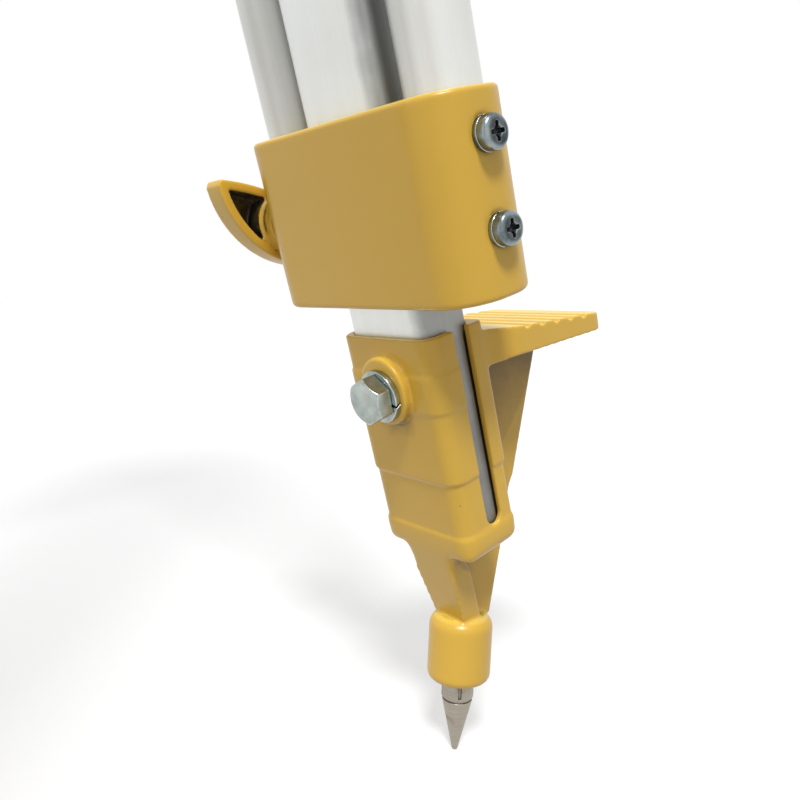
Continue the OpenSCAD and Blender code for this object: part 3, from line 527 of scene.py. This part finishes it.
def threaded_outline():
    """Up the outside in fine steps, in at the spring ring's groove, and down the bore."""
    groove_low, groove_high = RING_LOW - TENTH_MM / 2, RING_HIGH + TENTH_MM
    groove_r = THREAD_R - GROOVE_DEPTH
    outline, height = [], SCREW_LOW
    while height < groove_low - TENTH_MM:
        outline.append((THREAD_R, height))
        height += FINE_STEP
    outline += [(THREAD_R, groove_low), (groove_r, groove_low + HAIR),
                (groove_r, groove_high - HAIR), (THREAD_R, groove_high)]
    height = groove_high + FINE_STEP
    while height < SCREW_HIGH - END_BEVEL - TENTH_MM:
        outline.append((THREAD_R, height))
        height += FINE_STEP
    return outline + [
        (THREAD_R - TENTH_MM, SCREW_HIGH - END_BEVEL), (THREAD_R - END_BEVEL, SCREW_HIGH),
        (SCREW_BORE_R + BORE_BEVEL, SCREW_HIGH), (SCREW_BORE_R, SCREW_HIGH - BORE_BEVEL),
        (SCREW_BORE_R, SCREW_LOW),
    ]


turned_steel = Finish("turned_steel", Metallic=1.0)
tool_marks = turned_steel.noise(1.0, 2, turned_steel.stretched(90, 90, 5200))
oil_film = turned_steel.noise(150, 3)
steel_colour = turned_steel.blend(tool_marks * 0.7 + oil_film * 0.3,
                                  srgb(184, 177, 164), srgb(134, 127, 115))
steel_colour = turned_steel.blend(oil_film.step(0.58, 0.72) * 0.5, steel_colour,
                                  srgb(110, 100, 86))
# Painted shade: the steel is painted dark where the piece shelters a point.
steel_painted_shade = turned_steel.mark("sheltered")
steel_colour = turned_steel.blend(steel_painted_shade.step(0.25, 0.6) * 0.85, steel_colour,
                                  srgb(44, 40, 34))
turned_steel.wire(Base_Color=steel_colour, Roughness=0.3 + tool_marks * 0.2 + oil_film * 0.1)
turned_steel.relief(9 * MICRON * tool_marks + 3 * MICRON * oil_film)
set_up("instrument_screw", revolved(threaded_outline(), SCREW_SIDES, thread_relief), turned_steel,
       "screw", ["fixing_screw"])
ring = softened("retaining_ring", grain=0.00014, rounds=3, keep=0.35)
set_up("spring_ring", ring, turned_steel, "screw", ["retaining_ring"])
hook = softened("plumb_hook", grain=0.00022, rounds=3, keep=0.35)
set_up("hanging_hook", hook, zinc, "screw", ["plumb_hook"])

black_plastic = Finish("black_plastic")
plastic_worn = black_plastic.mark("curving")
spark = black_plastic.noise(2200, 2)
mottle = black_plastic.noise(60, 3)
plastic_scuffs = black_plastic.noise(1.0, 3, black_plastic.stretched(700, 700, 120))
plastic_colour = black_plastic.blend(mottle, (0.018, 0.018, 0.019, 1), (0.03, 0.03, 0.031, 1))
plastic_colour = black_plastic.blend(
    (plastic_worn * 1.4 + plastic_scuffs - 0.5).step(0.2, 0.7) * 0.6, plastic_colour,
    (0.09, 0.09, 0.092, 1))
black_plastic.wire(Base_Color=plastic_colour, Roughness=0.46 + spark * 0.2 - mottle * 0.06)
black_plastic.relief(14 * MICRON * spark + 6 * MICRON * plastic_scuffs)
grip = softened("screw_grip", grain=0.0004, rounds=4, keep=0.3)
set_up("fluted_grip", grip, black_plastic, "screw", ["screw_grip"])


# Legs: three alike, 120 degrees apart, each hung on an 8 mm bolt between the head's ears.
# What stands on a leg is made once, in that leg's own frame, and set up three times:
# x runs across the leg, y outwards, and z up along it, from the hinge's axis.
HINGE_OUT, HINGE_UP, LEG_SPLAY = 0.060, -0.030, 15
LEG_PLACES = [
    Matrix.Rotation(math.radians(120 * number), 4, "Z")
    @ Matrix.Translation((0, HINGE_OUT, HINGE_UP))
    @ Matrix.Rotation(math.radians(LEG_SPLAY), 4, "X")
    for number in range(3)
]
LEG = LEG_PLACES[0]


def on_each_leg(name, mesh, finish, body, nodes, within=Matrix.Identity(4)):
    """The same mesh three times, numbered as the bodies and nodes are."""
    for number, place in enumerate(LEG_PLACES, 1):
        set_up(f"{name}_{number}", mesh, finish, f"{body}_{number}" if body != "head" else body,
               [f"{node}_{number}" for node in nodes], place @ within)


for name, node in (("hinge_screw", "hinge_bolt"), ("hinge_nut_and_washer", "hinge_nut")):
    fastener = softened(f"{node}_1", grain=0.0003, rounds=4, keep=0.3, place=LEG)
    on_each_leg(name, fastener, zinc, "head", [node])


# Upper casting of a leg: it turns on the hinge bolt and holds both outer tubes in blind sockets.
# It is the same yellow enamel over a cast skin as the head.
upper_shape = softened("leg_top_1", grain=0.0007, rounds=7, keep=0.3, place=LEG)
on_each_leg("upper_casting", shelter(upper_shape, reach=0.02), enamel,
            "leg", ["leg_top"])


# Outer tubes: drawn aluminium, 22 mm round with a 1.5 mm wall, pushed into both castings.
# The die leaves faint lines along them. Their sides that face the inner tube are painted darker as
# shade.
TUBE_R, TUBE_WALL, TUBE_X = 0.011, 0.0015, 0.0356
TUBE_LOW, TUBE_HIGH, TUBE_SIDES = -0.83595, -0.02805, 64
BEVEL = 0.0003
SHADE_FROM, SHADE_FADE, SHADE_DARK = 0.005, 0.016, 0.42


def shade_facing_inner_tube(metal):
    """Painted shade on the sides of the outer tubes that face the inner tube."""
    sideways = metal.add("SeparateXYZ", None, {0: metal.place}, out="X")
    across = sideways.maths("ABSOLUTE", sideways)
    ragged = metal.noise(60, 2) * 0.002
    return (TUBE_X + SHADE_FROM - across + ragged).step(0, SHADE_FADE) * SHADE_DARK


drawn = metal_grade("drawn_aluminium",
                    (srgb(236, 237, 233), srgb(222, 222, 218), srgb(200, 200, 196)),
                    lines=(1000, 1000, 4), roughness=0.3, grease_and_shade=shade_facing_inner_tube)
pipe = [
    (TUBE_R - BEVEL, TUBE_LOW), (TUBE_R, TUBE_LOW + BEVEL), (TUBE_R, TUBE_HIGH - BEVEL),
    (TUBE_R - BEVEL, TUBE_HIGH), (TUBE_R - TUBE_WALL + BEVEL, TUBE_HIGH),
    (TUBE_R - TUBE_WALL, TUBE_HIGH - BEVEL), (TUBE_R - TUBE_WALL, TUBE_LOW + BEVEL),
    (TUBE_R - TUBE_WALL + BEVEL, TUBE_LOW),
]
for side, sign in (("left", -1), ("right", 1)):
    tube = revolved(pipe, TUBE_SIDES)
    tube.transform(Matrix.Translation((sign * TUBE_X, 0, 0)))
    on_each_leg(f"outer_tube_{side}", tube, drawn, "leg", [f"tube_{side}"])


# Clamp casting: cast aluminium in the same enamel. It closes round the outer tubes' lower ends and
# guides the inner tube. Four zinc-plated pan head screws with split washers hold the tubes, two
# here and two at the top.
clamp_shape = softened("clamp_casting_1", grain=0.0005, rounds=5, keep=0.14, place=LEG)
on_each_leg("clamp_housing", shelter(clamp_shape, reach=0.006), enamel,
            "leg", ["clamp_casting"])
CLAMP_LOW, PAN_R = -0.840, 0.0049
PAN_HEIGHTS = (CLAMP_LOW + 0.0191, CLAMP_LOW + 0.0444, -0.045)
MIDDLE_SHADE, MIDDLE_EDGE, MIDDLE_FADE = 0.62, 0.95, 0.3


def shaded_head_middles(mesh):
    """The screws, with painted shade added to the middle of their heads, round the cross recess.
    """
    values = np.empty(len(mesh.vertices), dtype=np.float32)
    marks = mesh.attributes["sheltered"].data
    marks.foreach_get("value", values)
    for vertex in mesh.vertices:
        out = min(math.hypot(vertex.co.y, vertex.co.z - up) / PAN_R for up in PAN_HEIGHTS)
        # Painted shade: darker towards the middle of each pan head.
        values[vertex.index] += MIDDLE_SHADE * max(0, min(1, (MIDDLE_EDGE - out) / MIDDLE_FADE))
    marks.foreach_set("value", values)
    return mesh


passivated = zinc_plate("passivated_zinc", srgb(158, 170, 174), srgb(92, 104, 109))
pan_heads = softened("pan_screws_1", grain=0.00016, rounds=9, keep=0.3, place=LEG)
on_each_leg("pan_head_screws", shaded_head_middles(shelter(pan_heads, reach=0.002)), passivated,
            "leg", ["pan_screws"])
split_rings = softened("spring_washers_1", grain=0.00013, rounds=3, keep=0.4, place=LEG)
on_each_leg("split_washers", split_rings, passivated, "leg", ["spring_washers"])


# Wing knob: cast aluminium in the same enamel, its open back pocket darker where more enclosed,
# on an 8 mm steel stud. The stud presses a lining block against the inner tube.
knob_enamel, knob_colour = yellow_enamel("knob_enamel")
pocket = knob_enamel.mark("sheltered")
pocket_mottle = knob_enamel.noise(170, 4)
# The pocket turns near black, mottled, by how much the piece encloses each point.
enclosed_dark = (pocket + pocket_mottle * 0.3 - 0.15).step(0.34, 0.46)
knob_colour = knob_enamel.blend(enclosed_dark * 0.95, knob_colour, knob_enamel.blend(
    pocket_mottle.step(0.5, 0.68), srgb(30, 28, 25), srgb(112, 100, 78)))
knob_enamel.wire(Base_Color=knob_colour)
wing_shape = softened("wing_knob_1", grain=0.0004, rounds=6, keep=0.3, place=LEG)
on_each_leg("wing_knob", shelter(wing_shape, reach=0.02), knob_enamel,
            "knob", ["wing_knob"])
stud = softened("clamp_stud_1", grain=0.00025, rounds=3, keep=0.35, place=LEG)
on_each_leg("knob_stud", stud, zinc, "knob", ["clamp_stud"])
lining = Finish("lining_block")
fibres = lining.noise(500, 4)
grit = lining.noise(1400, 2)
lining.wire(Base_Color=lining.blend(fibres.step(0.4, 0.65), (0.035, 0.033, 0.03, 1),
                                    (0.11, 0.10, 0.085, 1)),
            Roughness=0.75 + grit * 0.2)
lining.relief(60 * MICRON * fibres + 20 * MICRON * grit)
block_shape = softened("brake_pad_1", grain=0.0003, rounds=2, keep=0.4, place=LEG)
on_each_leg("lining_block", block_shape, lining, "pad", ["brake_pad"])


# Inner tube: drawn aluminium, flat, 40 by 20 mm with round edges. It slides between the outer
# tubes, and a guide of moulded black plastic on its upper end runs on both of them.
INNER_W, INNER_T, INNER_R, INNER_WALL = 0.040, 0.020, 0.0049, 0.0016
INNER_LOW, INNER_HIGH = -0.92385, -0.08995
CORNER_POINTS = 9


def round_oblong(width, depth, radius):
    """Outline of a rectangle with round corners."""
    outline = []
    for quarter, (sx, sy) in enumerate(((1, 1), (-1, 1), (-1, -1), (1, -1))):
        for step in range(CORNER_POINTS):
            angle = math.pi / 2 * (quarter + step / (CORNER_POINTS - 1))
            outline.append((sx * (width / 2 - radius) + radius * math.cos(angle),
                            sy * (depth / 2 - radius) + radius * math.sin(angle)))
    return outline


def flat_tube():
    """Up the outside, over the upper end, down the inside and back, each end with a bevel."""
    loops = []
    for inset, height in ((BEVEL, INNER_LOW), (0, INNER_LOW + BEVEL), (0, INNER_HIGH - BEVEL),
                          (BEVEL, INNER_HIGH), (INNER_WALL - BEVEL, INNER_HIGH),
                          (INNER_WALL, INNER_HIGH - BEVEL), (INNER_WALL, INNER_LOW + BEVEL),
                          (INNER_WALL - BEVEL, INNER_LOW)):
        outline = round_oblong(INNER_W - 2 * inset, INNER_T - 2 * inset, INNER_R - inset)
        loops.append([(x, y, height) for x, y in outline])
    return skinned("flat_tube", loops)


FOOT_RIM, GREASE_DOWN = -0.8509, 0.07


def grease_and_painted_shade(metal):
    """Grease and painted shade from just below the foot casting's rim, painted shade on the
    screws' side.
    """
    across, outwards, height = (metal.add("SeparateXYZ", None, {0: metal.place}, out=axis)
                                for axis in "XYZ")
    ragged = metal.noise(140, 3)
    below = 1 - (height + ragged * 0.002).step(FOOT_RIM - 0.003, FOOT_RIM + 0.0005)
    lower = 1 - height.step(FOOT_RIM - GREASE_DOWN, FOOT_RIM - 0.01)
    # A painted shadow line where the slot's wall shades the tube.
    slot_wall_shadow = outwards.step(0.0051, 0.0060)
    # Painted shade along the round edge that faces the right outer tube.
    outer_tube_shade = (across + ragged * 0.003).step(0.0145, 0.0205)
    return (below * (ragged * 0.14 + lower * 0.06 + slot_wall_shadow * 0.6) + outer_tube_shade * 0.62).step(0, 1)


slid = metal_grade("sliding_aluminium",
                   (srgb(240, 242, 240), srgb(228, 230, 227), srgb(208, 209, 206)),
                   lines=(900, 900, 4), roughness=0.3, grease_and_shade=grease_and_painted_shade)
on_each_leg("inner_tube", flat_tube(), slid, "lower_leg", ["inner_tube"])
guide = softened("slider_guide_1", grain=0.0005, rounds=4, keep=0.35, place=LEG)
on_each_leg("moulded_guide", guide, black_plastic,
            "lower_leg", ["slider_guide"])


# Foot casting: cast aluminium in the same enamel. It is a shoe round the inner tube's end, with a
# slot in each side, a pedal with tread grooves on a web, and a strut down to the round spike
# holder. A hexagon bolt with a split washer goes through the shoe and the tube.
SHOE_LOW = -0.9309
BAND_MIDDLE, BAND_HALF, BAND_FADE = SHOE_LOW + 0.001, 0.010, 0.004


def near_the_base(points):
    """1 in a band round the lower edge of the shoe, fading out above and below it."""
    return np.clip((BAND_HALF - np.abs(points[:, 2] - BAND_MIDDLE)) / BAND_FADE, 0, 1)


foot_shape = softened("foot_casting_1", grain=0.00045, rounds=5, keep=0.16, place=LEG,
                      melted=near_the_base)
# With lean, the enamel's painted shade falls mostly under what overhangs, as the pedal's shadow.
cast_foot = shelter(foot_shape, reach=0.045, lean=1.0)
for number, place in enumerate(LEG_PLACES, 1):
    casting = cast_foot.copy()
    casting.transform(place)
    set_up(f"foot_casting_{number}", casting, enamel, f"lower_leg_{number}",
           [f"foot_casting_{number}"])
hexagon_bolt = softened("foot_bolt_1", grain=0.00028, rounds=4, keep=0.3, place=LEG)
on_each_leg("foot_bolt", hexagon_bolt, zinc, "lower_leg", ["foot_bolt"])
split_ring = softened("foot_washer_1", grain=0.0002, rounds=3, keep=0.4, place=LEG)
on_each_leg("foot_split_washer", split_ring, zinc, "lower_leg", ["foot_washer"])


# Steel point: turned, with a collar notched on the lathe's index, and pressed into the holder.
# It stands within 4 degrees of upright, so the lathe's lines run level round it.
UPRIGHT = Matrix.Rotation(math.radians(-LEG_SPLAY), 4, "X")
point_shape = softened("foot_point_1", grain=0.0002, rounds=3, keep=0.35, place=LEG @ UPRIGHT)
on_each_leg("steel_point", shelter(point_shape, reach=0.002), turned_steel,
            "lower_leg", ["foot_point"], UPRIGHT)
